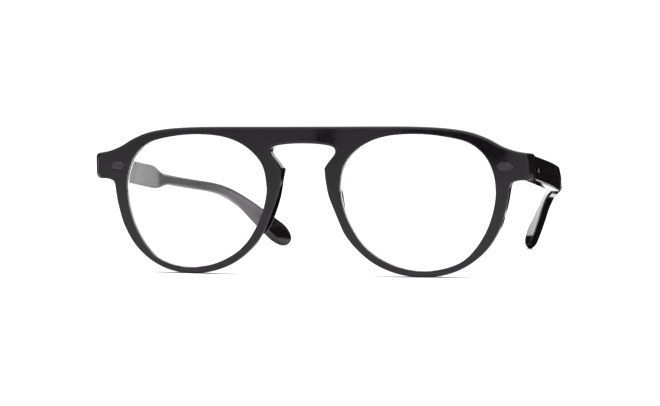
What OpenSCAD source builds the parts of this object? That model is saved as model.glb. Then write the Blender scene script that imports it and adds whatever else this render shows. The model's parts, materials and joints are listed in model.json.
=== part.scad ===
// Acetate eyeglasses with a keyhole bridge, glazed, on five-knuckle hinges.
// Everything is drawn upright, with the front's curved face touching y = 0 at the middle,
// then leaned and lifted as one so that the rims and the temple tips stand on z = 0.

/* [Front] */
// Whole width of the front
front_w = 138; // [138:0.5:142]
// Thickness of the front's sheet
front_t = 4.2; // [3.6:0.1:5]
// Radius that the front is bent to, seen from above
front_r = 400; // [300:10:600]
// Bevel along the outer edge of each end piece
end_bevel = 1.4; // [0.5:0.1:2]
// How far back the end pieces reach, where the temples meet them
joint_y = 10.4; // [9.6:0.1:12]

/* [Lenses] */
// Radius of the lens's front surface
lens_r = 130; // [110:5:260]
// Thickness of the lens
lens_t = 2; // [1.6:0.1:2.4]
// How far the lens's edge reaches into the rim
lens_bite = 0.5; // [0.3:0.1:0.8]
// Gap between the lens and the rim
lens_gap = 0.1; // [0.05:0.05:0.2]

/* [Nose pads] */
// Height that the built-up pads stand behind the front
pad_h = 4; // [2:0.5:6]
// Flare of the pads and the rims beside the nose, in degrees
pad_flare = 20; // [10:1:30]

/* [Temples] */
// Thickness of the temple at the hinge
temple_t = 4.2; // [3.6:0.1:5]
// Radius of the temple's outer face behind its straight part
temple_outer_r = 218; // [210:2:300]
// How much larger the inner face's radius is, which thins the temple towards its tip
temple_thinning = 14; // [0:1:16]
// Length of the straight part, measured from the middle of the front
temple_straight = 28; // [20:1:50]
// Angle that the straight part splays outwards at, in degrees
temple_splay = 3.4; // [0:0.2:4]

/* [Hinges] */
// Distance from the hinge's axis to the temple's inner face
hinge_inset = 1.9; // [1.8:0.1:2.4]
// Radius of the knuckles
knuckle_r = 1.5; // [1.3:0.1:1.6]
// Height of one knuckle
knuckle_h = 1.05; // [0.9:0.05:1.1]
// Radius of the screw's shank
screw_r = 0.7; // [0.6:0.05:0.8]

/* [Plaques] */
// Width of the plaque, between its two points
plaque_w = 5.2; // [4:0.1:7]
// Height of the plaque
plaque_h = 2.5; // [2:0.1:4]

/* [Hidden] */

black = [0.09, 0.085, 0.09];
gunmetal = [0.3, 0.3, 0.31];
steel = [0.7, 0.7, 0.72];
clear = [0.85, 0.9, 0.92, 0.35];

large_fn = 720;
sphere_fn = 240;
small_fn = 48;
curve_steps = 4;
corner_steps = 4;
reach = 300;
// How far the outlines that shape or pierce the front reach past it
through = 20;

// Outlines are [x, z] points on the wearer's left half, seen from the front.
opening_points = [
    [11.5, 7], [13, 13.6], [18, 18.8], [25, 21.7], [34, 22.5], [43, 21.7], [50.5, 19.7],
    [55.5, 15.2], [57.9, 8.5], [57.7, 1], [54.8, -7.5], [49, -14.9], [41, -18], [33, -18.1],
    [25, -15.6], [18.5, -11], [14, -4], [12, 2]
];
brow_points = [
    [0, 24.9], [12, 24.9], [24, 24.9], [34, 24.8], [43, 24.3], [50, 23.2], [55.5, 21.2],
    [60, 18.75], [63.8, 17.4], [67.6, 16.7]
];
rim_points = [
    [65.5, 8.6], [63.6, 8.2], [62.5, 7.2], [62, 4.5], [61.1, 0], [59.2, -6], [55.5, -12],
    [50, -16.7], [43.5, -19.5], [36, -20.3], [28.5, -19.3], [21.5, -16.3], [15.5, -11.2],
    [11, -4.8], [8.3, 2.2], [7.1, 8], [6.7, 12.3]
];
keyhole_points = [
    [6.7, 12.3], [7.6, 13.7], [8.9, 15.3], [9.9, 16.6], [10.1, 17.7], [9.3, 18.7], [7, 19.3],
    [3.5, 19.65], [0, 19.75]
];
end_corner_r = 1.4;
end_top = brow_points[len(brow_points) - 1][1];
end_bottom = 8.6;

// How far the sides of the nose gap lean out towards the bottom, in degrees
pad_lean = 21;
// Half the width of the nose gap where its flared sides would cross the face, level with the middle
pad_x = 9.2;
// The block that cuts those sides, and where its corner lies from there
flare_block = [20, 30, 35];
flare_corner = [-20, -4, -16];
// The pad's outline, from the keyhole's corner down beside the nose and back up the rim
pad_points = [[6.7, 12.3], [7.1, 8], [8.3, 2.2], [11, -4.8], [13.5, -8], [14.2, -6.5], [12.4, -1], [11, 6]];

// Temple outlines are [y, z] points, seen from the side.
temple_top_start = 15.8;
temple_top_points = [
    [50.5, 10.5], [53, 10], [55.5, 9], [58.5, 7.8], [62, 6.9], [73, 5.2], [85, 3.5], [97.5, 1.6],
    [107, -0.8], [116, -4.3], [125, -8.8], [131.5, -12.6]
];
temple_bottom_points = [
    [128, -19.2], [121.5, -13.9], [114.5, -8.4], [106, -4.3], [97, -1.9], [85, 0], [72, 1.8],
    [64.5, 2.8], [60.5, 2.6], [56.5, 2.2], [52, 2.5]
];
tip_centre = [134.2, -18.9];
tip_long = 8;
tip_high = 4.05;
tip_slope = 32.6;
// The tip's end is an ellipse, drawn a little past both of its sides
tip_sweep = 95;
tip_step = 10;

temple_x = front_w / 2;
temple_inner_r = temple_outer_r + temple_thinning;
joint_gap = 0.1;
hinge_x = temple_x - temple_t - hinge_inset;
hinge_gap = 0.05;
hinge_bottom = 9.6;
hinge_top = hinge_bottom + 5 * knuckle_h + 4 * hinge_gap;
bore_gap = 0.04;
bore_r = screw_r + bore_gap;
bore_past = 1;
knuckle_relief = 0.15;
head_r = 1.1;
head_h = 0.6;
slot_w = 0.3;
slot_depth = 0.3;
end_gap = 0.1;

// The front leaf: its outer side, and how far it reaches to each side of the hinge's axis
plate_front_y = 8;
plate_t = 1.2;
plate_in = 3.5;
plate_out = 1.5;
// The room round it
pocket_gap = 0.2;
pocket_in = plate_in + pocket_gap / 2;
pocket_out = plate_out + pocket_gap;
pocket_depth = 6;

// The temple leaf, behind the hinge's axis
leaf_start = joint_y + 0.4;
leaf_bottom = hinge_bottom + 0.6;
leaf_l = 6.6;
leaf_h = 3.7;
rivet_at = [15.4, 11.2];
rivet_r = 0.8;
rivet_proud = 0.05;
rivet_l = temple_t - plate_t + (rivet_at[0] - joint_y) * tan(temple_splay) + rivet_proud;
wire_w = 0.9;
wire_h = 1.4;
wire_gap = 0.02;
wire_r = temple_outer_r + temple_thinning / 2;
wire_points = [
    [17.5, 11.1], [40, 8], [60, 5.3], [85, 1.8], [97, -0.2], [106.5, -2.7], [115.5, -6.4], [128, -14.6]
];

plaque_at = [61, 12.8];
plaque_turn = asin(plaque_at[0] / front_r);
plaque_point = 1.2;
plaque_depth = 0.5;
plaque_proud = 0.15;
plaque_gap = 0.05;
pin_r = 0.55;
pin_l = 3.4;
pin_spread = 1;
pin_gap = 0.02;

opening_middle = [34.8, 2.1];
lens_turn = asin(opening_middle[0] / front_r);
lens_proud = 0.4;
// Depths at which the tongue round the lens's edge starts and ends
tongue = [0.3 * lens_t, 0.7 * lens_t];

// Lean and lift that stand the model on its rims and temple tips
rim_low = [36, -20.3];
tip_drop = norm([tip_long * sin(tip_slope), tip_high * cos(tip_slope)]);
tip_reach = norm([tip_long * cos(tip_slope), tip_high * sin(tip_slope)]);
tip_skew = (tip_long * tip_long - tip_high * tip_high) * sin(tip_slope) * cos(tip_slope);
tip_low = tip_centre + [tip_skew / tip_drop, -tip_drop];
tip_back = tip_centre + [tip_reach, -tip_skew / tip_reach];
lean = atan((rim_low[1] - tip_low[1]) / (tip_low[0] - face_y(rim_low[0])));
lift = -rim_low[1] * cos(lean) - face_y(rim_low[0]) * sin(lean);
back_y = tip_back[0] * cos(lean) - tip_back[1] * sin(lean);
front_y = -brow_points[0][1] * sin(lean);
middle_y = (front_y + back_y) / 2;

// Where the front's curved face lies at x
function face_y(x) = front_r - sqrt(front_r * front_r - x * x);

// Entry i of a closed list, counted round past its ends
function entry(list, i) = list[(i + len(list)) % len(list)];

// The point a share t of the way from b to c on a smooth curve through a, b, c and d
function curve_point(a, b, c, d, t) =
    0.5 * (2 * b + t * (c - a) + t * t * (2 * a - 5 * b + 4 * c - d) + t * t * t * (3 * b - a - 3 * c + d));

function closed_curve(points) = [
    for (i = [0 : len(points) - 1], k = [0 : curve_steps - 1])
        curve_point(
            entry(points, i - 1), points[i], entry(points, i + 1),
            entry(points, i + 2), k / curve_steps
        )
];

// An open curve, without its last point unless whole is true
function open_curve(points, whole = false) = concat(
    [
        for (i = [0 : len(points) - 2], k = [0 : curve_steps - 1])
            curve_point(
                points[max(i - 1, 0)], points[i], points[i + 1],
                points[min(i + 2, len(points) - 1)], k / curve_steps
            )
    ],
    whole ? [points[len(points) - 1]] : []
);

// Points of an arc round centre, from one angle to another
function arc(centre, r, from, to, steps) = [
    for (i = [0 : steps])
        let (angle = from + (to - from) * i / steps)
            centre + r * [cos(angle), sin(angle)]
];

// A closed outline, drawn clockwise, moved outwards by distance
function grown(points, distance) = [
    for (i = [0 : len(points) - 1])
        let (along = entry(points, i + 1) - entry(points, i - 1))
            points[i] + distance * [-along[1], along[0]] / norm(along)
];

// A half outline mirrored, in reverse order, without the points on the middle line
function mirrored(points) = [
    for (i = [len(points) - 1 : -1 : 0])
        if (points[i][0] > 0)
            [-points[i][0], points[i][1]]
];

opening = closed_curve(opening_points);
half_front = concat(
    open_curve(brow_points),
    arc([front_w / 2 - end_corner_r, end_top - end_corner_r], end_corner_r, 90, 0, corner_steps),
    arc([front_w / 2 - end_corner_r, end_bottom + end_corner_r], end_corner_r, 0, -90, corner_steps),
    open_curve(rim_points),
    open_curve(keyhole_points, true)
);

tip_along = [cos(tip_slope), -sin(tip_slope)];
tip_across = [sin(tip_slope), cos(tip_slope)];
tip_end = [
    for (angle = [tip_sweep : -tip_step : -tip_sweep])
        tip_centre + tip_long * cos(angle) * tip_along + tip_high * sin(angle) * tip_across
];
temple_side = concat(
    [[joint_y + joint_gap, temple_top_start]],
    open_curve(temple_top_points, true),
    tip_end,
    open_curve(temple_bottom_points, true),
    [[joint_y + joint_gap, end_bottom]]
);

// Stands an upright drawing on the floor, centred
module standing() {
    translate([0, -middle_y, lift]) rotate([lean, 0, 0]) children();
}

// The wearer's left side as drawn, or the right side mirrored from it
module on_side(left) {
    if (left) {
        children();
    } else {
        mirror([1, 0, 0]) children();
    }
}

// An [x, z] outline made solid from y = from to y = to
module upright(points, from, to) {
    translate([0, to, 0]) rotate([90, 0, 0]) linear_extrude(to - from) polygon(points);
}

// A [y, z] outline made solid across the wearer's left half
module sideways(points) {
    rotate([90, 0, 90]) linear_extrude(reach / 2) polygon(points);
}

// Everything behind the surface that lies depth behind the front's face
module behind_face(depth) {
    translate([0, front_r, -reach / 2]) cylinder(r = front_r - depth, h = reach, $fn = large_fn);
}

// Everything behind the surface that lies depth behind the lens's own front
module behind_lens(depth) {
    translate([opening_middle[0], face_y(opening_middle[0]), opening_middle[1]])
        rotate([0, 0, lens_turn])
            translate([0, lens_r - lens_proud, 0]) sphere(r = lens_r - depth, $fn = sphere_fn);
}

// A slice of the lens's curved sheet inside an outline
module lens_slice(points, from, to) {
    difference() {
        intersection() {
            upright(points, -through, through);
            behind_lens(from);
        }
        behind_lens(to);
    }
}

// Cuts the sides beside the nose back, so that they flare towards the face
module nose_flare() {
    translate([pad_x, 0, 0]) rotate([0, 0, -pad_flare]) rotate([0, -pad_lean, 0])
        translate(flare_corner) cube(flare_block);
}

// The plaque's own frame, on the front's face
module at_plaque() {
    translate([plaque_at[0], face_y(plaque_at[0]), plaque_at[1]]) rotate([0, 0, plaque_turn]) children();
}

module plaque_plate(slack) {
    half_w = plaque_w / 2 + slack;
    half_h = plaque_h / 2 + slack;
    shoulder = half_w - plaque_point;
    outline = [
        [-half_w, 0], [-shoulder, half_h], [shoulder, half_h],
        [half_w, 0], [shoulder, -half_h], [-shoulder, -half_h]
    ];
    upright(outline, -plaque_proud, plaque_depth);
}

module plaque_pins(slack) {
    for (x = [-pin_spread, pin_spread])
        translate([x, plaque_depth, 0]) rotate([-90, 0, 0])
            cylinder(r = pin_r + slack, h = pin_l + slack, $fn = small_fn);
}

module hinge_cylinder(r, z, h) {
    translate([hinge_x, joint_y, z]) cylinder(r = r, h = h, $fn = small_fn);
}

// The hole for the hinge's screw
module hinge_bore() {
    hinge_cylinder(bore_r, hinge_bottom - bore_past, hinge_top - hinge_bottom + 2 * bore_past);
}

// The room that one hinge needs in the back of an end piece
module hinge_pocket() {
    translate([hinge_x - pocket_in, plate_front_y, hinge_bottom - pocket_gap])
        cube([pocket_in + pocket_out, pocket_depth, hinge_top - hinge_bottom + 2 * pocket_gap]);
}

// Cuts the end piece's front edge off at 45 degrees
module end_bevel_cut() {
    translate([front_w / 2 - end_bevel, face_y(front_w / 2 - end_bevel), 0])
        rotate([0, 0, 45]) translate([-through / 2, -through, -reach / 2]) cube([through, through, reach]);
}

module front() {
    color(black)
        difference() {
            intersection() {
                upright(concat(half_front, mirrored(half_front)), -through, joint_y);
                behind_face(0);
                union() {
                    difference() {
                        translate([-reach / 2, -through, -reach / 2]) cube(reach);
                        behind_face(front_t);
                    }
                    for (left = [true, false])
                        on_side(left)
                            translate([hinge_x + pocket_out, 0, 0]) cube([reach, joint_y, reach]);
                }
            }
            for (left = [true, false])
                on_side(left) {
                    upright(opening, -through, through);
                    lens_slice(
                        grown(opening, lens_bite + lens_gap),
                        tongue[0] - lens_gap, tongue[1] + lens_gap
                    );
                    nose_flare();
                    hinge_pocket();
                    at_plaque() plaque_plate(plaque_gap);
                    at_plaque() plaque_pins(pin_gap);
                    end_bevel_cut();
                }
        }
}

module lens() {
    color(clear)
        union() {
            lens_slice(grown(opening, -lens_gap), 0, lens_t);
            lens_slice(grown(opening, lens_bite), tongue[0], tongue[1]);
        }
}

module nose_pad() {
    color(black)
        difference() {
            intersection() {
                upright(closed_curve(pad_points), 0, front_t + pad_h);
                behind_face(front_t);
            }
            nose_flare();
        }
}

module plaque() {
    color(gunmetal)
        at_plaque() {
            plaque_plate(0);
            plaque_pins(0);
        }
}

// The foot of a knuckle, counted from the bottom one
function knuckle_z(level) = hinge_bottom + level * (knuckle_h + hinge_gap);

// One knuckle, and the web that joins it to its leaf: web is [from, to] in x, then in y, from the axis
module knuckle(level, web) {
    hinge_cylinder(knuckle_r, knuckle_z(level), knuckle_h);
    translate([hinge_x + web[0][0], joint_y + web[1][0], knuckle_z(level)])
        cube([web[0][1] - web[0][0], web[1][1] - web[1][0], knuckle_h]);
}

module front_hinge() {
    color(steel)
        difference() {
            union() {
                difference() {
                    translate([hinge_x - plate_in, plate_front_y, hinge_bottom])
                        cube([plate_in + plate_out, plate_t, hinge_top - hinge_bottom]);
                    for (level = [1, 3])
                        hinge_cylinder(
                            knuckle_r + knuckle_relief,
                            knuckle_z(level) - hinge_gap,
                            knuckle_h + 2 * hinge_gap
                        );
                }
                for (level = [0, 2, 4])
                    knuckle(level, [[-knuckle_r, knuckle_r], [plate_front_y - joint_y, 0]]);
            }
            hinge_bore();
            at_plaque() plaque_pins(pin_gap);
        }
}

module hinge_screw() {
    color(steel)
        difference() {
            union() {
                hinge_cylinder(screw_r, hinge_bottom, hinge_top - hinge_bottom + end_gap);
                hinge_cylinder(head_r, hinge_top, head_h);
            }
            translate([hinge_x - 2 * head_r, joint_y - slot_w / 2, hinge_top + head_h - slot_depth])
                cube([4 * head_r, slot_w, head_h]);
        }
}

module temple_leaf() {
    translate([hinge_x + hinge_inset, leaf_start, leaf_bottom]) cube([plate_t, leaf_l, leaf_h]);
}

module temple_hinge() {
    color(steel)
        difference() {
            union() {
                temple_leaf();
                for (level = [1, 3])
                    knuckle(level, [[0, hinge_inset], [0, knuckle_r]]);
            }
            hinge_bore();
        }
}

module temple_rivet() {
    color(steel)
        translate([temple_x - temple_t + plate_t, rivet_at[0], rivet_at[1]]) rotate([0, 90, 0])
            cylinder(r = rivet_r, h = rivet_l, $fn = small_fn);
}

// A sheet bent like the temple, its outer face inset by outer and its inner face by inner
module temple_sheet(outer, outer_r, inner, inner_r) {
    straight_l = temple_straight - joint_y;
    translate([temple_x, joint_y, -reach / 2]) rotate([0, 0, -temple_splay])
        difference() {
            intersection() {
                translate([-reach, -joint_y, 0]) cube([reach - outer, reach, reach]);
                union() {
                    translate([-reach, -joint_y, 0]) cube([2 * reach, temple_straight, reach]);
                    translate([-outer - outer_r, straight_l, 0])
                        cylinder(r = outer_r, h = reach, $fn = large_fn);
                }
            }
            translate([-2 * reach, -joint_y, 0])
                cube([2 * reach - temple_t + inner, temple_straight, reach]);
            translate([inner - temple_t - inner_r, straight_l, 0])
                cylinder(r = inner_r, h = reach, $fn = large_fn);
        }
}

// The wire that stiffens the temple, or with slack the channel that it fills
module core_wire(slack = 0) {
    half_h = wire_h / 2 + slack;
    inset = temple_t / 2 - wire_w / 2 - slack;
    line = open_curve(wire_points, true);
    color(steel)
        intersection() {
            sideways(concat(
                [for (point = line) point + [0, half_h]],
                [for (i = [len(line) - 1 : -1 : 0]) line[i] - [0, half_h]]
            ));
            temple_sheet(inset, wire_r, inset, wire_r);
        }
}

module temple() {
    color(black)
        difference() {
            intersection() {
                sideways(temple_side);
                temple_sheet(0, temple_outer_r, 0, temple_inner_r);
            }
            temple_leaf();
            temple_rivet();
            core_wire(wire_gap);
        }
}

standing() front();
standing() lens();  // lens_left
standing() on_side(false) lens();  // lens_right
standing() nose_pad();  // nose_pad_left
standing() on_side(false) nose_pad();  // nose_pad_right
standing() plaque();  // plaque_left
standing() on_side(false) plaque();  // plaque_right
standing() front_hinge();  // front_hinge_left
standing() on_side(false) front_hinge();  // front_hinge_right
standing() hinge_screw();  // hinge_screw_left
standing() on_side(false) hinge_screw();  // hinge_screw_right
standing() temple();  // temple_left
standing() on_side(false) temple();  // temple_right
standing() temple_hinge();  // temple_hinge_left
standing() on_side(false) temple_hinge();  // temple_hinge_right
standing() temple_rivet();  // temple_rivet_left
standing() on_side(false) temple_rivet();  // temple_rivet_right
standing() core_wire();  // core_wire_left
standing() on_side(false) core_wire();  // core_wire_right
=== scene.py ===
"""Looks of a pair of acetate eyeglasses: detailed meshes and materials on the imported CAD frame.

Shapes are drawn in millimetres, upright, with the front's face touching y = 0 at the middle and the
wearer's left at +x. STANDING then leans, lifts and scales them into the frame, in metres.
"""
import json
import math

import bmesh
import bpy
import numpy as np
from mathutils import Matrix, Vector
from mathutils.geometry import delaunay_2d_cdt


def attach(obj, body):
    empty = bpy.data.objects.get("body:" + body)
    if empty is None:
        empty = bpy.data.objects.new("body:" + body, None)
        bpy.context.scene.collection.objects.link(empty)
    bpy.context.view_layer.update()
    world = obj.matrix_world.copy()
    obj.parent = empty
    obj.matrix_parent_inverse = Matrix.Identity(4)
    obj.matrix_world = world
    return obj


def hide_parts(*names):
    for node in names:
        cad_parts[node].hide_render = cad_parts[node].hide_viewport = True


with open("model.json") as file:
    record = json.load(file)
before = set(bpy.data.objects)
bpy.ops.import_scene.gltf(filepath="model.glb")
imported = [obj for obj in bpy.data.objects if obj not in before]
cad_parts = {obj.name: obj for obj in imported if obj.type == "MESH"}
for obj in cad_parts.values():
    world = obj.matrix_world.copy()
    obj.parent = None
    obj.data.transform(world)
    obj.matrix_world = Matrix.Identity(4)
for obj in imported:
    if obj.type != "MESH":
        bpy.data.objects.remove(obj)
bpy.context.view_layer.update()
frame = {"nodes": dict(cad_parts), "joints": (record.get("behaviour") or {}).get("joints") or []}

# Driving sizes, as in the CAD model
FRONT_W = 138
FRONT_T = 4.2
FRONT_R = 400
END_BEVEL = 1.4
JOINT_Y = 10.4
END_TOP = 16.7
END_BOTTOM = 8.6
END_CORNER = 1.4
LENS_R = 130
LENS_T = 2
LENS_BITE = 0.5
LENS_GAP = 0.1
LENS_PROUD = 0.4
LENS_TONGUE = (0.3, 0.7)
OPENING_MIDDLE = (34.8, 2.1)
PAD_H = 4
PAD_X = 9.2
PAD_FLARE = math.radians(20)
PAD_LEAN = math.radians(21)
TEMPLE_T = 4.2
TEMPLE_OUTER_R = 218
TEMPLE_INNER_R = 232
TEMPLE_STRAIGHT = 28
TEMPLE_SPLAY = math.radians(3.4)
TEMPLE_TOP_START = 15.8
PLAQUE_AT = (61, 12.8)
PLAQUE_W = 5.2
PLAQUE_H = 2.5
PLAQUE_POINT = 1.2
PLAQUE_PROUD = 0.15
PLAQUE_DEPTH = 0.5
PLAQUE_GAP = 0.05
PIN_R = 0.55
RIVET_AT = (15.4, 11.2)
RIVET_R = 0.8
RIVET_X = 66

# Where the end pieces become thick, and the pocket in their backs for the hinge's front leaf
STUB_X = 64.6
POCKET_LOW = (59.3, 9.4)
POCKET_HIGH = (STUB_X, 15.25)
POCKET_Y = 8

# The slot in the temple's inner face for its hinge leaf, as (y, z) corners, and its floor
SLOT_LOW = (10.77, 10.17)
SLOT_HIGH = (17.43, 13.93)
SLOT_X = 66.03

# Outlines on the wearer's left half, as (x, z) points seen from the front
OPENING = [
    (11.5, 7), (13, 13.6), (18, 18.8), (25, 21.7), (34, 22.5), (43, 21.7), (50.5, 19.7),
    (55.5, 15.2), (57.9, 8.5), (57.7, 1), (54.8, -7.5), (49, -14.9), (41, -18), (33, -18.1),
    (25, -15.6), (18.5, -11), (14, -4), (12, 2),
]
BROW = [
    (0, 24.9), (12, 24.9), (24, 24.9), (34, 24.8), (43, 24.3), (50, 23.2), (55.5, 21.2),
    (60, 18.75), (63.8, 17.4), (67.6, END_TOP),
]
RIM = [
    (65.5, END_BOTTOM), (63.6, 8.2), (62.5, 7.2), (62, 4.5), (61.1, 0), (59.2, -6), (55.5, -12),
    (50, -16.7), (43.5, -19.5), (36, -20.3), (28.5, -19.3), (21.5, -16.3), (15.5, -11.2),
    (11, -4.8), (8.3, 2.2), (7.1, 8), (6.7, 12.3),
]
KEYHOLE = [
    (6.7, 12.3), (7.6, 13.7), (8.9, 15.3), (9.9, 16.6), (10.1, 17.7), (9.3, 18.7), (7, 19.3),
    (3.5, 19.65), (0, 19.75),
]
NOSE_PAD = [
    (6.7, 12.3), (7.1, 8), (8.3, 2.2), (11, -4.8), (13.5, -8), (14.2, -6.5), (12.4, -1), (11, 6),
]

# Temple outlines, as (y, z) points seen from the side
TEMPLE_START = JOINT_Y + 0.1
TEMPLE_TOP = [
    (50.5, 10.5), (53, 10), (55.5, 9), (58.5, 7.8), (62, 6.9), (73, 5.2), (85, 3.5), (97.5, 1.6),
    (107, -0.8), (116, -4.3), (125, -8.8), (131.5, -12.6),
]
TEMPLE_BOTTOM = [
    (128, -19.2), (121.5, -13.9), (114.5, -8.4), (106, -4.3), (97, -1.9), (85, 0), (72, 1.8),
    (64.5, 2.8), (60.5, 2.6), (56.5, 2.2), (52, 2.5),
]
TIP_CENTRE = (134.2, -18.9)
TIP_LONG = 8
TIP_HIGH = 4.05
TIP_SLOPE = math.radians(32.6)
TIP_SWEEP = math.radians(95)

# Where the left hinge's middle is in the drawing, and in the frame
MM = 0.001
HINGE_UPRIGHT = Vector((62.9, JOINT_Y, 12.3))
hinge = next(joint for joint in frame["joints"] if joint["name"] == "left_temple_fold")
LEAN = math.atan2(-hinge["axis"][1], hinge["axis"][2])
STANDING = (
    Matrix.Translation(hinge["pos_m"])
    @ Matrix.Rotation(LEAN, 4, "X")
    @ Matrix.Scale(MM, 4)
    @ Matrix.Translation(-HINGE_UPRIGHT)
)

# Size of the triangles on broad faces, and how near to an edge they start, as a share of it
GRID = 1.3
GRID_CLEARANCE = 0.6
# Spacing of the points along the outlines of the front and the temples
STEP = 0.55
TEMPLE_STEP = 0.7
# Steps in a rounded edge
ROUND_STEPS = 4
# Radii of the front's edges: round the outline and at its ends, behind, and round the eye openings
EDGE_R = 0.7
END_EDGE_R = 0.4
BACK_EDGE_R = 0.6
RIM_EDGE_R = 0.3
RIM_BACK_EDGE_R = 0.4
# Edges that bend more than this stay sharp
SHARP_ANGLE = math.radians(42)
# On the CAD nodes that stay: points this near are one, in metres, and edges are broken by this much
WELD_GAP = 1e-6
BROKEN_EDGE = 0.00008
BROKEN_ANGLE = math.radians(35)

# The cards, in metres: how high those on the floor lie, where those that hang before the face are,
# and between which places their colour changes
CARD_Z = 0.0003
FLAG_Y = -0.372
CARD_FAR_Y = -0.75
CARD_NEAR_Y = -0.15
CARD_BLACK = (0.005, 0.005, 0.005)


# ---------------------------------------------------------------- outlines

def smooth(points, closed=False, steps=10):
    """Points along a Catmull-Rom curve through the given points."""
    p = np.array(points, float)
    last = len(p) - 1
    out = []
    for i in range(len(p) if closed else last):
        ids = [i - 1, i, i + 1, i + 2]
        ids = [k % len(p) for k in ids] if closed else [min(max(k, 0), last) for k in ids]
        a, b, c, d = p[ids]
        for t in np.arange(steps) / steps:
            bend = t * (c - a) + t**2 * (2 * a - 5 * b + 4 * c - d) + t**3 * (3 * b - a - 3 * c + d)
            out.append(b + bend / 2)
    if not closed:
        out.append(p[-1])
    return np.array(out)


def spaced(points, step, closed=False):
    """The same line with evenly spaced points. An open line keeps its ends."""
    line = np.vstack([points, points[:1]]) if closed else np.array(points, float)
    along = np.concatenate([[0], np.cumsum(np.linalg.norm(np.diff(line, axis=0), axis=1))])
    count = max(1, round(along[-1] / step))
    at = np.linspace(0, along[-1], count + 1)
    out = np.column_stack([np.interp(at, along, line[:, k]) for k in range(2)])
    return out[:-1] if closed else out


def joined(*lines):
    """One closed outline from lines that follow each other, without doubled points."""
    points = np.vstack(lines)
    gap = np.linalg.norm(points - np.roll(points, 1, 0), axis=1)
    return points[gap > 1e-6]


def arc(centre, r, start, end, steps=6):
    """Points of an arc, its angles in degrees."""
    angles = np.radians(np.linspace(start, end, steps + 1))
    return np.column_stack([centre[0] + r * np.cos(angles), centre[1] + r * np.sin(angles)])


def clockwise(outline, wanted=True):
    """The outline in the wanted direction. Its right-hand side is then its inside, or its outside."""
    x, y = outline.T
    turns = np.sum(x * np.roll(y, -1) - y * np.roll(x, -1)) < 0
    return outline if turns == wanted else outline[::-1]


def moved_right(outline, distance):
    """The closed outline moved to its right-hand side, by one distance or one for each point."""
    before = outline - np.roll(outline, 1, 0)
    after = np.roll(outline, -1, 0) - outline
    before /= np.linalg.norm(before, axis=1)[:, None]
    after /= np.linalg.norm(after, axis=1)[:, None]
    along = before + after
    along /= np.linalg.norm(along, axis=1)[:, None]
    right = np.column_stack([along[:, 1], -along[:, 0]])
    corner = np.maximum(np.sum(along * before, axis=1), 0.5)
    return outline + right * (np.broadcast_to(distance, len(outline)) / corner)[:, None]


def rectangle(low, high, step):
    """Points round a rectangle between two corners."""
    corners = [low, (high[0], low[1]), high, (low[0], high[1])]
    return spaced(np.array(corners), step, closed=True)


def inside(points, outline):
    """Which of the points lie inside a closed outline."""
    x, y = points.T
    hit = np.zeros(len(points), bool)
    for (ax, ay), (bx, by) in zip(outline, np.roll(outline, -1, 0)):
        if ay != by:
            crosses = (ay > y) != (by > y)
            hit ^= crosses & (x < (bx - ax) * (y - ay) / (by - ay) + ax)
    return hit


def soft_max(a, b, softness):
    """The larger of two values, with a rounded change from one to the other."""
    return (a + b) / 2 + np.sqrt(((a - b) / 2) ** 2 + softness**2)


def eased(value, start, end):
    """0 before start, 1 after end, and a smooth rise between them."""
    t = np.clip((value - start) / (end - start), 0, 1)
    return t * t * (3 - 2 * t)


# ---------------------------------------------------------------- meshes

def band(bm, rings):
    """Quads between closed rings of equally many points. Returns each ring's vertices."""
    rows = [[bm.verts.new(p) for p in ring] for ring in rings]
    for a, b in zip(rows, rows[1:]):
        for i in range(len(a)):
            j = (i + 1) % len(a)
            bm.faces.new((a[i], a[j], b[j], b[i]))
    return rows


def cap(bm, rows, axes, surface, grid):
    """Fills the inside of the first row of vertices, without the insides of the others.

    axes are the two axes that the face is seen in, and surface turns points in them into 3-D points.
    """
    flat = [np.array([[v.co[axes[0]], v.co[axes[1]]] for v in row]) for row in rows]
    low = flat[0].min(0)
    high = flat[0].max(0)
    rise = grid * math.sqrt(3) / 2
    across = np.arange(low[0], high[0], grid)
    inner = np.vstack([
        np.column_stack([across + (k % 2) * grid / 2, np.full(len(across), level)])
        for k, level in enumerate(np.arange(low[1] + rise / 2, high[1], rise))
    ])
    inner = inner[inside(inner, flat[0])]
    for outline in flat[1:]:
        inner = inner[~inside(inner, outline)]
    edge = np.vstack(flat)
    gap = np.array([np.min(np.sum((edge - p) ** 2, axis=1)) for p in inner])
    inner = inner[gap > (GRID_CLEARANCE * grid) ** 2] if len(inner) else inner.reshape(0, 2)

    points = np.vstack([edge, inner])
    edges = []
    for outline in flat:
        start = len(edges)
        edges += [(start + i, start + (i + 1) % len(outline)) for i in range(len(outline))]
    found, _, faces, sources, _, _ = delaunay_2d_cdt([Vector(p) for p in points], edges, [], 0, 1e-7)
    verts = [v for row in rows for v in row] + [bm.verts.new(p) for p in surface(inner)]
    middles = np.array([np.mean([found[i] for i in face], axis=0) for face in faces])
    keep = inside(middles, flat[0])
    for outline in flat[1:]:
        keep &= ~inside(middles, outline)
    for face in np.array(faces)[keep]:
        bm.faces.new([verts[sources[i][0]] for i in face])


def recess(bm, mouth, floor):
    """A recess with straight walls and a floor of one face. Returns the vertices round its mouth."""
    rows = band(bm, [mouth, floor])
    bm.faces.new(rows[1])
    return rows[0]


def rounding(radius, ease=0.12):
    """(inset, depth) steps from a broad face over a rounded edge of that radius to a wall."""
    turns = np.linspace(0, math.pi / 2, ROUND_STEPS + 1)
    steps = [(radius + ease, 0 * radius)]
    return steps + [(radius * (1 - math.sin(a)), radius * (1 - math.cos(a))) for a in turns]


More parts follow.
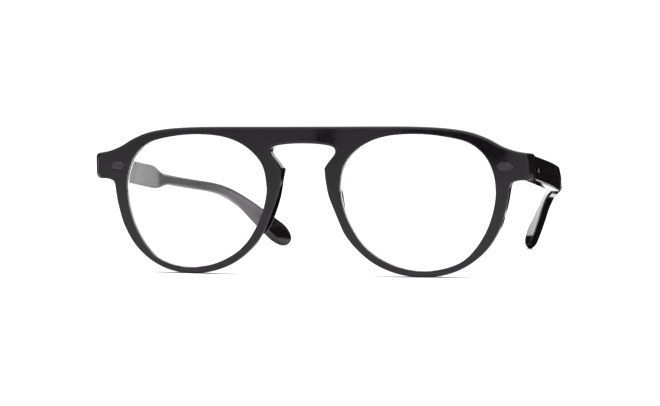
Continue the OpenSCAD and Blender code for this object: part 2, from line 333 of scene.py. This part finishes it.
def lathe(bm, profile, place, segments=48):
    """A turned solid. Its profile is (radius, height) steps from the axis back to the axis."""
    turns = 2 * math.pi * np.arange(segments) / segments
    rings = [
        [place @ Vector((r * math.cos(a), r * math.sin(a), h)) for a in turns] for r, h in profile[1:-1]
    ]
    rows = band(bm, rings)
    for row, (_, h) in ((rows[0], profile[0]), (rows[-1], profile[-1])):
        pole = bm.verts.new(place @ Vector((0, 0, h)))
        for i in range(segments):
            bm.faces.new((row[i], row[(i + 1) % segments], pole))


def finish_piece(bm, name, material, body, nodes, mirror=False):
    """Stands the drawn piece up in the frame, and makes it ride on a body in place of CAD nodes."""
    if mirror:
        bm.transform(Matrix.Diagonal((-1, 1, 1, 1)))
    bm.transform(STANDING)
    bmesh.ops.recalc_face_normals(bm, faces=bm.faces)
    mesh = bpy.data.meshes.new(name)
    bm.to_mesh(mesh)
    bm.free()
    mesh.shade_smooth()
    mesh.set_sharp_from_angle(angle=SHARP_ANGLE)
    mesh.materials.append(material)
    piece = bpy.data.objects.new(name, mesh)
    bpy.context.scene.collection.objects.link(piece)
    piece.modifiers.new("even_normals", "WEIGHTED_NORMAL").keep_sharp = True
    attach(piece, body)
    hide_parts(*nodes)
    return piece


# ---------------------------------------------------------------- materials

class Look:
    """A Principled material under construction."""

    def __init__(self, name, **sockets):
        self.material = bpy.data.materials.new(name)
        self.material.use_nodes = True
        self.tree = self.material.node_tree
        self.shader = self.tree.nodes["Principled BSDF"]
        for socket, value in sockets.items():
            self.shader.inputs[socket.replace("_", " ")].default_value = value

    def node(self, kind, **inputs):
        made = self.tree.nodes.new(kind)
        for socket, value in inputs.items():
            target = made.inputs[socket.replace("_", " ")]
            if isinstance(value, bpy.types.NodeSocket):
                self.tree.links.new(value, target)
            else:
                target.default_value = value
        return made

    def noise(self, scale, detail=3, stretch=(1, 1, 1)):
        """Noise with about scale cells to the metre, drawn out along an axis where stretch is small."""
        place = self.node("ShaderNodeTexCoord").outputs["Object"]
        mapping = self.node("ShaderNodeMapping", Vector=place, Scale=stretch)
        made = self.node("ShaderNodeTexNoise", Vector=mapping.outputs["Vector"], Scale=scale, Detail=detail)
        return made.outputs["Fac"]

    def ramp(self, factor, low, high, start=0.35, end=0.65):
        """A colour between low and high."""
        made = self.node("ShaderNodeValToRGB", Fac=factor)
        stops = made.color_ramp.elements
        stops[0].position = start
        stops[1].position = end
        stops[0].color = (*low, 1)
        stops[1].color = (*high, 1)
        return made.outputs["Color"]

    def spread(self, factor, low, high, start=0.3, end=0.7):
        """A number between low and high."""
        limits = {"From_Min": start, "From_Max": end, "To_Min": low, "To_Max": high}
        return self.node("ShaderNodeMapRange", Value=factor, **limits).outputs["Result"]

    def set(self, socket, source):
        self.tree.links.new(source, self.shader.inputs[socket])

    def bump(self, height, distance, strength=1):
        made = self.node("ShaderNodeBump", Height=height, Distance=distance, Strength=strength)
        self.set("Normal", made.outputs["Normal"])


def acetate_look():
    """Polished near-black acetate, its surface a little wavy."""
    look = Look("black_acetate", IOR=1.49, Specular_IOR_Level=0.36)
    dark = (0.0038, 0.003, 0.0036)
    light = (0.0056, 0.0045, 0.0053)
    look.set("Base Color", look.ramp(look.noise(90, 4), dark, light))
    look.set("Roughness", look.spread(look.noise(700, 4), 0.05, 0.09))
    look.bump(look.noise(120, 2), 0.000008)
    return look.material


def lens_look():
    """Clear plastic, its tint hardly there."""
    look = Look("clear_lens", IOR=1.5, Transmission_Weight=1, Roughness=0)
    look.set("Base Color", look.ramp(look.noise(40, 2), (0.985, 0.99, 0.99), (1, 1, 1)))
    return look.material


def metal_look(name, dark, light, rough, grain, stretch=(1, 1, 1)):
    """A worked metal with about grain marks to the metre, drawn out along an axis where stretch is small."""
    look = Look(name, Metallic=1)
    look.set("Base Color", look.ramp(look.noise(grain, 4, stretch), dark, light))
    look.set("Roughness", look.spread(look.noise(grain * 1.7, 5, stretch), rough - 0.06, rough + 0.08))
    look.bump(look.noise(grain * 2, 3, stretch), 0.000004)
    return look.material


def floor_look():
    look = Look("pale_floor", Roughness=0.9, Specular_IOR_Level=0)
    look.set("Base Color", look.ramp(look.noise(5, 3), (0.9, 0.9, 0.9), (0.92, 0.92, 0.92)))
    return look.material


ACETATE = acetate_look()
LENS = lens_look()
PLAQUE_METAL = metal_look(
    "gunmetal_plaque", (0.042, 0.041, 0.042), (0.06, 0.059, 0.06), 0.3, 2500, (0.15, 1, 1)
)
HINGE_METAL = metal_look("satin_nickel_silver", (0.5, 0.5, 0.5), (0.66, 0.66, 0.67), 0.3, 3000, (0.2, 1, 1))
SCREW_METAL = metal_look("polished_steel", (0.58, 0.58, 0.6), (0.7, 0.7, 0.72), 0.18, 2500)
RIVET_METAL = metal_look("ground_rivet", (0.2, 0.2, 0.2), (0.3, 0.3, 0.3), 0.4, 3500, (1, 1, 0.3))
CORE_METAL = metal_look("drawn_wire", (0.45, 0.45, 0.47), (0.6, 0.6, 0.62), 0.3, 2500, (1, 0.1, 1))


# ---------------------------------------------------------------- front

def face_y(x):
    """Where the front's curved face lies."""
    return FRONT_R - np.sqrt(FRONT_R**2 - np.square(x))


def back_y(x):
    """Where the back of the front lies. The end pieces reach back to the temples."""
    sheet = FRONT_R - np.sqrt((FRONT_R - FRONT_T) ** 2 - np.square(x))
    return np.where(np.abs(x) >= STUB_X, np.maximum(sheet, JOINT_Y), sheet)


def at_y(points, y):
    """(x, z) points made 3-D, at one y or at one for each point."""
    return np.column_stack([points[:, 0], np.broadcast_to(y, len(points)), points[:, 1]])


def on_face(points):
    return at_y(points, face_y(points[:, 0]))


def on_back(points):
    return at_y(points, back_y(points[:, 0]))


def nose_limit(y, z):
    """How near to the middle the flared sides of the nose gap come."""
    return PAD_X + math.tan(PAD_FLARE) * y - math.tan(PAD_LEAN) / math.cos(PAD_FLARE) * z


def front_ring(outline, inset, depth, far=False):
    """The front's outline at a depth behind its face, or before its back, moved in by inset.

    Its sides are flared beside the nose, and its ends are squeezed in to make the bevel.
    """
    flare_low = -14
    flare_high = 13
    flare_width = 20
    flare_softness = 0.1
    squeezed_w = 6
    x, z = outline.T
    side = np.abs(x)
    y = back_y(x) - depth if far else face_y(x) + depth
    beside_nose = (z < flare_high) & (z > flare_low) & (side < flare_width)
    side = np.where(beside_nose, soft_max(side, nose_limit(y, z), flare_softness), side)
    bevel_x = FRONT_W / 2 - END_BEVEL
    reach = FRONT_W / 2 if far else np.minimum(FRONT_W / 2, bevel_x + depth / (1 - bevel_x / FRONT_R))
    squeeze_x = bevel_x - squeezed_w
    squeezed = squeeze_x + (side - squeeze_x) * (reach - squeeze_x) / (FRONT_W / 2 - squeeze_x)
    side = np.where(side > squeeze_x, squeezed, side)
    points = moved_right(np.column_stack([np.sign(x) * side, z]), inset)
    x = points[:, 0]
    return at_y(points, back_y(x) - depth if far else face_y(x) + depth)


def lens_y(points, depth):
    """Where the surface at a depth behind the lens's front surface lies."""
    turn = math.asin(OPENING_MIDDLE[0] / FRONT_R)
    reach = LENS_R - LENS_PROUD
    x = points[:, 0] - (OPENING_MIDDLE[0] - reach * math.sin(turn))
    z = points[:, 1] - OPENING_MIDDLE[1]
    middle_y = float(face_y(OPENING_MIDDLE[0])) + reach * math.cos(turn)
    return middle_y - np.sqrt((LENS_R - depth) ** 2 - x**2 - z**2)


def left_opening():
    return spaced(smooth(OPENING, closed=True), STEP, closed=True)


def rim_rings():
    """Rings through the left eye opening: rounded edges, and the groove that holds the lens."""
    opening = clockwise(left_opening(), False)
    groove = LENS_BITE + LENS_GAP
    tongue = [share * LENS_T for share in LENS_TONGUE]
    groove_floor = [share * LENS_T for share in (0.42, 0.58)]
    rings = []
    for inset, depth in rounding(RIM_EDGE_R):
        points = moved_right(opening, inset)
        rings.append(at_y(points, face_y(points[:, 0]) + depth))
    groove_steps = (
        (0, tongue[0] - LENS_GAP), (groove, groove_floor[0]),
        (groove, groove_floor[1]), (0, tongue[1] + LENS_GAP),
    )
    for inset, depth in groove_steps:
        rings.append(at_y(moved_right(opening, inset), lens_y(opening, depth)))
    for inset, depth in rounding(RIM_BACK_EDGE_R)[::-1]:
        points = moved_right(opening, inset)
        rings.append(at_y(points, back_y(points[:, 0]) - depth))
    return rings


def plaque_outline(slack):
    """The plaque's outline, grown by slack. Its points are far enough apart for a small inset."""
    spacing = 0.36
    half_w = PLAQUE_W / 2 + slack
    half_h = PLAQUE_H / 2 + slack
    shoulder = half_w - PLAQUE_POINT
    corners = [
        (-half_w, 0), (-shoulder, half_h), (shoulder, half_h),
        (half_w, 0), (shoulder, -half_h), (-shoulder, -half_h),
    ]
    sides = zip(corners, corners[1:] + corners[:1])
    return np.vstack([spaced(np.array(ends, float), spacing)[:-1] for ends in sides])


def plaque_place():
    """The plaque's own frame, on the front's face."""
    turn = math.asin(PLAQUE_AT[0] / FRONT_R)
    at = Vector((PLAQUE_AT[0], float(face_y(PLAQUE_AT[0])), PLAQUE_AT[1]))
    return Matrix.Translation(at) @ Matrix.Rotation(turn, 4, "Z")


def plaque_recess():
    """The mouth and the floor of the recess that takes the left plaque."""
    place = plaque_place()
    mouth, floor = (
        np.array([place @ Vector((x, depth, z)) for x, z in plaque_outline(PLAQUE_GAP)])
        for depth in (0, PLAQUE_DEPTH)
    )
    mouth[:, 1] = face_y(mouth[:, 0])
    return mouth, floor


def mirrored(points):
    return points * np.array([-1, 1])


def front_outline():
    half_w = FRONT_W / 2
    corner_x = half_w - END_CORNER
    half = np.vstack([
        spaced(smooth(BROW), STEP)[:-1],
        arc((corner_x, END_TOP - END_CORNER), END_CORNER, 90, 0)[:-1],
        spaced(np.array([(half_w, END_TOP - END_CORNER), (half_w, END_BOTTOM + END_CORNER)]), STEP)[:-1],
        arc((corner_x, END_BOTTOM + END_CORNER), END_CORNER, 0, -90)[:-1],
        spaced(np.array([(corner_x, END_BOTTOM), RIM[0]]), STEP)[:-1],
        spaced(smooth(RIM), STEP)[:-1],
        spaced(smooth(KEYHOLE), STEP),
    ])
    return clockwise(joined(half, mirrored(half[1:-1])[::-1]))


def make_front():
    bm = bmesh.new()
    outline = front_outline()
    # The edge grows finer between these distances from the middle
    end_share = eased(np.abs(outline[:, 0]), 58, 64)
    edge_r = EDGE_R + (END_EDGE_R - EDGE_R) * end_share
    wall_depths = (0.9, 1.17, 1.5, 2.6)
    rings = [front_ring(outline, inset, depth) for inset, depth in rounding(edge_r, 0.1)]
    rings += [front_ring(outline, 0, depth) for depth in wall_depths]
    rings += [front_ring(outline, inset, depth, far=True) for inset, depth in rounding(BACK_EDGE_R)[::-1]]
    edge = band(bm, rings)
    fronts = [edge[0]]
    backs = [edge[-1]]

    pocket = rectangle(POCKET_LOW, POCKET_HIGH, 0.6)
    for side in (1, -1):
        flip = np.array([side, 1, 1])
        rim = band(bm, [ring * flip for ring in rim_rings()])
        fronts.append(rim[0])
        backs.append(rim[-1])
        fronts.append(recess(bm, *[ring * flip for ring in plaque_recess()]))
        backs.append(recess(bm, on_back(pocket) * flip, at_y(pocket, POCKET_Y) * flip))

    cap(bm, fronts, (0, 2), on_face, GRID)
    cap(bm, backs, (0, 2), on_back, GRID)
    finish_piece(bm, "front_polished", ACETATE, "front", ["front"])


def make_lens(side, mirror):
    """A lens that fills the eye opening, with the tongue round its edge."""
    bm = bmesh.new()
    opening = clockwise(left_opening())
    middle = np.array(OPENING_MIDDLE)
    edge_break = 0.1
    # Sizes of the rings on each surface, from its edge inwards, as shares of the outline
    shares = np.concatenate([[1, 0.996], np.linspace(1, 0, 14)[1:-1]])
    # The edge's steps: how far inside the opening they lie, and at what share of the thickness
    edge = [
        (LENS_GAP, 0.1), (LENS_GAP, LENS_TONGUE[0]), (-LENS_BITE, 0.45),
        (-LENS_BITE, 0.55), (LENS_GAP, LENS_TONGUE[1]), (LENS_GAP, 0.9),
    ]

    def ring(scale, inset, depth):
        points = middle + scale * (moved_right(opening, inset) - middle)
        return at_y(points, lens_y(points, depth))

    rings = [ring(share, LENS_GAP + edge_break, 0) for share in shares[::-1]]
    rings += [ring(1, inset, share * LENS_T) for inset, share in edge]
    rings += [ring(share, LENS_GAP + edge_break, LENS_T) for share in shares]
    rows = band(bm, rings)
    for row, depth in ((rows[0], 0), (rows[-1], LENS_T)):
        pole = bm.verts.new((middle[0], float(lens_y(middle[None], depth)[0]), middle[1]))
        for i in range(len(row)):
            bm.faces.new((row[i], row[(i + 1) % len(row)], pole))
    node = "lens_" + side
    piece = finish_piece(bm, node + "_glazed", LENS, "front", [node], mirror)
    piece.visible_shadow = False


def make_nose_pad(side, mirror):
    """A pad built up behind the rim, rounded over on the eye's side and flared on the nose's."""
    bm = bmesh.new()
    outline = clockwise(spaced(smooth(NOSE_PAD, closed=True), 0.4, closed=True))
    dome_width = 1.6
    softness = 0.35
    # How deep the pad's edge and its base lie in the front
    edge_sunk = 0.06
    base_sunk = 0.25

    def top(points):
        y = back_y(points[:, 0])
        slope = (points[:, 0] - nose_limit(y, points[:, 1])) / math.tan(PAD_FLARE)
        gap = np.array([np.min(np.linalg.norm(outline - p, axis=1)) for p in points])
        dome = PAD_H * np.sqrt(1 - (1 - np.clip(gap / dome_width, 0, 1)) ** 2)
        height = -soft_max(-dome, -slope, softness)
        return at_y(points, y + np.maximum(height, 0) - edge_sunk)

    def base(points):
        return at_y(points, back_y(points[:, 0]) - base_sunk)

    rows = band(bm, [top(outline), base(outline)])
    cap(bm, [rows[0]], (0, 2), top, 0.3)
    cap(bm, [rows[1]], (0, 2), base, 2)
    node = "nose_pad_" + side
    finish_piece(bm, node + "_polished", ACETATE, "front", [node], mirror)


def make_plaque(side, mirror):
    """A bevelled plaque with three engraved lines, and the two pins behind it."""
    bm = bmesh.new()
    outline = clockwise(plaque_outline(0))
    line_gap = 0.5
    long_half = 1.6
    short_half = 1.25
    run_out = 0.15
    groove_w = 0.1
    groove_depth = 0.1
    pin_spread = 1
    pin_l = 3.5
    pin_chamfer = 0.1
    pin_sunk = 0.1

    def ring(inset, depth):
        return at_y(moved_right(outline, inset), depth - PLAQUE_PROUD)

    def engraved(points):
        x, z = points.T
        depth = np.zeros(len(points))
        for line, half_l in ((-line_gap, short_half), (0, long_half), (line_gap, short_half)):
            ends = 1 - eased(np.abs(x), half_l - run_out, half_l)
            depth = np.maximum(depth, ends * np.exp(-(((z - line) / groove_w) ** 2)))
        return at_y(points, groove_depth * depth - PLAQUE_PROUD)

    rings = [ring(inset, depth) for inset, depth in rounding(0.15, 0.05)]
    rings.append(ring(0, PLAQUE_DEPTH + PLAQUE_PROUD - 0.02))
    rows = band(bm, rings)
    cap(bm, [rows[0]], (0, 2), engraved, 0.085)
    bm.faces.new(rows[-1])
    pin = [(0, 0), (PIN_R, 0), (PIN_R, pin_l - 2 * pin_chamfer), (PIN_R - pin_chamfer, pin_l), (0, pin_l)]
    for x in (-pin_spread, pin_spread):
        start = Matrix.Translation((x, PLAQUE_DEPTH - pin_sunk, 0))
        lathe(bm, pin, start @ Matrix.Rotation(-math.pi / 2, 4, "X"))
    bm.transform(plaque_place())
    node = "plaque_" + side
    finish_piece(bm, node + "_engraved", PLAQUE_METAL, "front", [node], mirror)


# ---------------------------------------------------------------- temples

def temple_x(y, inset, radius):
    """Where a face of the temple lies: splayed outwards along its straight part, then bent inwards."""
    sin = math.sin(TEMPLE_SPLAY)
    cos = math.cos(TEMPLE_SPLAY)
    aside = -inset - radius
    behind = TEMPLE_STRAIGHT - JOINT_Y
    centre_x = FRONT_W / 2 + aside * cos + behind * sin
    centre_y = JOINT_Y - aside * sin + behind * cos
    turn_y = centre_y - radius * sin
    y = np.asarray(y, float)
    flat = centre_x + radius * cos + (np.minimum(y, turn_y) - turn_y) * sin / cos
    bent = centre_x + np.sqrt(radius**2 - (np.maximum(y, turn_y) - centre_y) ** 2)
    return np.where(y < turn_y, flat, bent)


def temple_outside(y):
    return temple_x(y, 0, TEMPLE_OUTER_R)


def temple_inside(y):
    return temple_x(y, TEMPLE_T, TEMPLE_INNER_R)


def temple_outline():
    angles = np.linspace(TIP_SWEEP, -TIP_SWEEP, 30)
    along = np.array([math.cos(TIP_SLOPE), -math.sin(TIP_SLOPE)])
    across = np.array([math.sin(TIP_SLOPE), math.cos(TIP_SLOPE)])
    tip = (
        np.array(TIP_CENTRE)
        + TIP_LONG * np.cos(angles)[:, None] * along
        + TIP_HIGH * np.sin(angles)[:, None] * across
    )
    start_top = (TEMPLE_START, TEMPLE_TOP_START)
    start_bottom = (TEMPLE_START, END_BOTTOM)
    return clockwise(joined(
        spaced(np.array([start_top, TEMPLE_TOP[0]]), 0.9)[:-1],
        spaced(smooth(TEMPLE_TOP), TEMPLE_STEP),
        spaced(tip, TEMPLE_STEP),
        spaced(smooth(TEMPLE_BOTTOM), TEMPLE_STEP)[:-1],
        spaced(np.array([TEMPLE_BOTTOM[-1], start_bottom]), 0.9)[:-1],
        spaced(np.array([start_bottom, start_top]), 0.6)[:-1],
    ))


def temple_edge(y):
    """Radius of the temple's edges: fine at the joint and the block, rounder on the arm and the tip."""
    edge = 0.15 + 0.3 * eased(y, TEMPLE_START + 0.1, TEMPLE_START + 2)
    edge += 0.45 * eased(y, 48, 60)
    return edge + 0.4 * eased(y, 100, 125)


def make_temple(side, mirror):
    bm = bmesh.new()
    outline = temple_outline()
    edge = temple_edge(outline[:, 0])
    hole_gap = 0.02
    hole_depth = 0.4

    def on_outside(points):
        return np.column_stack([temple_outside(points[:, 0]), points])

    def on_inside(points):
        return np.column_stack([temple_inside(points[:, 0]), points])

    def ring(inset, depth, far):
        points = moved_right(outline, inset)
        y = points[:, 0]
        x = temple_inside(y) + depth if far else temple_outside(y) - depth
        return np.column_stack([x, points])

    turns = np.linspace(0, math.pi / 2, 7)
    steps = [(edge * 1.08 + 0.05, 0 * edge)]
    steps += [(edge * (1 - math.sin(a)), edge * (1 - math.cos(a))) for a in turns]
    rings = [ring(inset, depth, False) for inset, depth in steps]
    rings += [ring(inset, depth, True) for inset, depth in steps[::-1]]
    rows = band(bm, rings)

    hole = on_outside(arc(RIVET_AT, RIVET_R + hole_gap, 0, 360, 32)[:-1])
    hole_mouth = recess(bm, hole, hole - np.array([hole_depth, 0, 0]))
    cap(bm, [rows[0], hole_mouth], (1, 2), on_outside, GRID)

    slot = rectangle(SLOT_LOW, SLOT_HIGH, TEMPLE_STEP)
    slot_mouth = recess(bm, on_inside(slot), np.column_stack([np.full(len(slot), SLOT_X), slot]))
    cap(bm, [rows[-1], slot_mouth], (1, 2), on_inside, GRID)
    node = "temple_" + side
    finish_piece(bm, node + "_polished", ACETATE, node, [node], mirror)


def make_rivet(side, mirror):
    """A rivet through the temple, its end ground nearly flush and a little domed."""
    bm = bmesh.new()
    length = float(temple_outside(RIVET_AT[0])) - RIVET_X
    # Radii across the end, and how far each stands before the temple's face
    dome = ((RIVET_R, -0.03), (RIVET_R - 0.05, 0.02), (0.6, 0.03), (0.3, 0.038), (0, 0.04))
    profile = [(0, 0), (RIVET_R, 0)] + [(r, length + proud) for r, proud in dome]
    lathe(bm, profile, Matrix.Translation((RIVET_X, *RIVET_AT)) @ Matrix.Rotation(math.pi / 2, 4, "Y"))
    node = "temple_rivet_" + side
    finish_piece(bm, node + "_ground", RIVET_METAL, "temple_" + side, [node], mirror)


# ---------------------------------------------------------------- CAD nodes that stay

def dress_node(name, material):
    """Gives a CAD node its material and softly broken edges."""
    node = frame["nodes"][name]
    node.data.materials.clear()
    node.data.materials.append(material)
    weld = node.modifiers.new("weld", "WELD")
    weld.merge_threshold = WELD_GAP
    bevel = node.modifiers.new("edges", "BEVEL")
    bevel.width = BROKEN_EDGE
    bevel.segments = 2
    bevel.limit_method = "ANGLE"
    bevel.angle_limit = BROKEN_ANGLE
    node.modifiers.new("even_normals", "WEIGHTED_NORMAL").keep_sharp = True


# ---------------------------------------------------------------- stage

def make_floor():
    bm = bmesh.new()
    bmesh.ops.create_circle(bm, cap_ends=True, radius=6, segments=96)
    mesh = bpy.data.meshes.new("floor")
    bm.to_mesh(mesh)
    bm.free()
    mesh.materials.append(floor_look())
    floor = bpy.data.objects.new("floor", mesh)
    bpy.context.scene.collection.objects.link(floor)


def make_camera():
    azimuth = math.radians(15.01)
    elevation = math.radians(2.44)
    roll = math.radians(-0.17)
    target = Vector((0.0005, -0.04057, 0.02084))
    distance = 0.622
    back = Vector((
        math.sin(azimuth) * math.cos(elevation),
        -math.cos(azimuth) * math.cos(elevation),
        math.sin(elevation),
    ))
    level = Vector((0, 0, 1)).cross(back).normalized()
    upward = back.cross(level)
    right = math.cos(roll) * level + math.sin(roll) * upward
    up = back.cross(right)
    data = bpy.data.cameras.new("camera")
    data.sensor_width = 36
    data.lens = 107.3
    data.clip_start = 0.01
    camera = bpy.data.objects.new("camera", data)
    turn = Matrix((right, up, back)).transposed().to_4x4()
    camera.matrix_world = Matrix.Translation(target + distance * back) @ turn
    bpy.context.scene.collection.objects.link(camera)
    bpy.context.scene.camera = camera


def make_light(name, at, target, size, power):
    data = bpy.data.lights.new(name, "AREA")
    data.shape = "DISK"
    data.size = size
    data.energy = power
    light = bpy.data.objects.new(name, data)
    light.location = at
    light.rotation_mode = "QUATERNION"
    light.rotation_quaternion = (Vector(at) - Vector(target)).to_track_quat("Z", "Y")
    bpy.context.scene.collection.objects.link(light)


def make_card(name, corners, far=CARD_BLACK, near=CARD_BLACK, glow=0):
    """A card that only reflections see. Its colour changes with its distance before the face."""
    look = Look(name + "_paper", Roughness=0.9, Specular_IOR_Level=0)
    place = look.node("ShaderNodeSeparateXYZ", Vector=look.node("ShaderNodeTexCoord").outputs["Object"])
    span = {"From_Min": CARD_FAR_Y, "From_Max": CARD_NEAR_Y}
    nearness = look.node("ShaderNodeMapRange", Value=place.outputs["Y"], **span)
    look.set("Base Color", look.ramp(nearness.outputs["Result"], far, near, 0, 1))
    look.shader.inputs["Emission Color"].default_value = (1, 1, 1, 1)
    look.shader.inputs["Emission Strength"].default_value = glow
    bm = bmesh.new()
    bm.faces.new([bm.verts.new(p) for p in corners])
    mesh = bpy.data.meshes.new(name)
    bm.to_mesh(mesh)
    bm.free()
    mesh.materials.append(look.material)
    card = bpy.data.objects.new(name, mesh)
    bpy.context.scene.collection.objects.link(card)
    card.visible_camera = False
    card.visible_diffuse = False
    card.visible_shadow = False
    card.visible_transmission = False


def upright_card(start, end, height):
    """Corners of a card that stands on the floor between two (x, y) points."""
    return [(*start, 0), (*end, 0), (*end, height), (*start, height)]


def floor_card(x_low, x_high, y_low, y_high):
    """Corners of a card that lies on the floor."""
    return [(x, y, CARD_Z) for x, y in ((x_low, y_low), (x_high, y_low), (x_high, y_high), (x_low, y_high))]


def make_cards():
    """What the polished parts reflect: dark and bright cards round the object, on the floor and near it."""
    for name, start, end in (
        ("flag_beside_temple", (0.067, 0.1), (0.3, 0.1)),
        ("flag_right_rear", (0.17, 0.45), (0.5, 0.35)),
        ("flag_right", (0.5, 0.35), (0.5, -0.5)),
        ("flag_left", (-0.5, 0.2), (-0.5, -0.2)),
    ):
        make_card(name, upright_card(start, end, 0.5))
    make_card("bright_back", upright_card((-0.3, 0.45), (0.165, 0.45), 0.3), glow=1.6)
    # Lights the bevel of the right end piece
    make_card("bright_strip", upright_card((-0.49, 0.075), (-0.49, 0.03), 0.05), glow=4)
    # Darkens the edges on both sides of the nose gap
    make_card("flag_behind_bridge", upright_card((0, 0), (0.02, 0), 0.04))

    # The front's face reflects the first of these, and the temples reflect the others
    make_card("lilac_floor", floor_card(-0.6, 0.4, -0.9, -0.075), (0.38, 0.35, 0.385), (0.76, 0.7, 0.77))
    make_card("dark_floor_left", floor_card(0.03, 0.08, 0.03, 0.078))
    dark_floor_middle = [
        (-0.03, 0.08), (0.04, 0.08), (0.045, 0.112), (0.11, 0.112),
        (0.2, 0.34), (0.06, 0.34), (0, 0.115), (-0.03, 0.115),
    ]
    make_card("dark_floor_middle", [(x, y, CARD_Z) for x, y in dark_floor_middle])

    # Hanging before the face, they make the dark streaks along the brow and over the bridge
    brow_flag = [(0.001, 0.026), (0.104, 0.026), (0.104, 0.008), (0.06, 0.008), (0.03, 0.014)]
    bridge_flag = [(-0.072, 0.027), (-0.054, 0.027), (-0.054, 0.012), (-0.072, 0.012)]
    for name, corners in (("brow_flag", brow_flag), ("bridge_flag", bridge_flag)):
        make_card(name, [(x, FLAG_Y, z) for x, z in corners])


def make_world():
    world = bpy.data.worlds.new("studio")
    world.use_nodes = True
    background = world.node_tree.nodes["Background"]
    background.inputs["Color"].default_value = (1, 1, 1, 1)
    background.inputs["Strength"].default_value = 1.25
    bpy.context.scene.world = world
    bpy.context.scene.view_settings.view_transform = "Standard"


make_front()
for side, mirror in (("left", False), ("right", True)):
    make_lens(side, mirror)
    make_nose_pad(side, mirror)
    make_plaque(side, mirror)
    make_temple(side, mirror)
    make_rivet(side, mirror)
    dress_node("front_hinge_" + side, HINGE_METAL)
    dress_node("temple_hinge_" + side, HINGE_METAL)
    dress_node("hinge_screw_" + side, SCREW_METAL)
    dress_node("core_wire_" + side, CORE_METAL)

make_floor()
make_camera()
make_world()
make_light("top_light", (0, 0.1, 1.2), (0, 0, 0), 1.4, 12)
make_cards()
